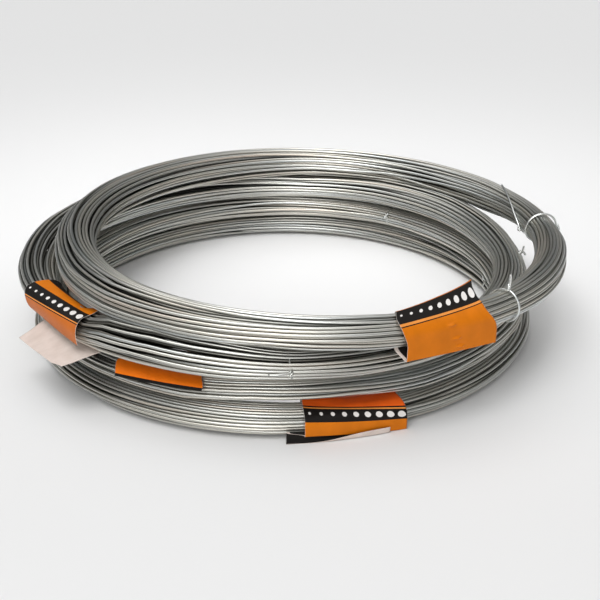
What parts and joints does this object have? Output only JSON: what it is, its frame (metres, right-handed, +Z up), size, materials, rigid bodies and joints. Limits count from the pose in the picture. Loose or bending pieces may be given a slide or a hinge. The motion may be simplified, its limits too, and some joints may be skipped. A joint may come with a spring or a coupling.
{
  "type": "coil of wire rod",
  "caption": "Tied hanks of galvanised steel wire, nested and stacked into one ring, each with a paper label wrapped round it.",
  "frame": {"origin": "axis of the bottom hank, on the floor that it lies on", "axes": "+Z up along the axis of the coil, +X towards the side that the top hank is shifted to, +Y away from the labels at the front"},
  "size_m": [0.4655, 0.4499, 0.1008],
  "materials": {
    "wire": "galvanised, satin, streaked",
    "tie": "galvanised, bright",
    "label": "coated print outside, white inside"
  },
  "bodies": {
    "root": {"hank_bottom": "wire", "hank_lower": "wire", "hank_upper": "wire", "hank_top": "wire", "label_bottom": "label", "label_lower": "label", "label_upper": "label", "label_top": "label", "tie_top_front": "tie", "tie_top_right": "tie", "tie_top_back": "tie", "tie_upper_front": "tie", "tie_upper_right": "tie", "tie_lower_back": "tie", "tie_lower_left": "tie", "tie_bottom_right": "tie", "tie_bottom_left": "tie"}
  },
  "joints": []
}
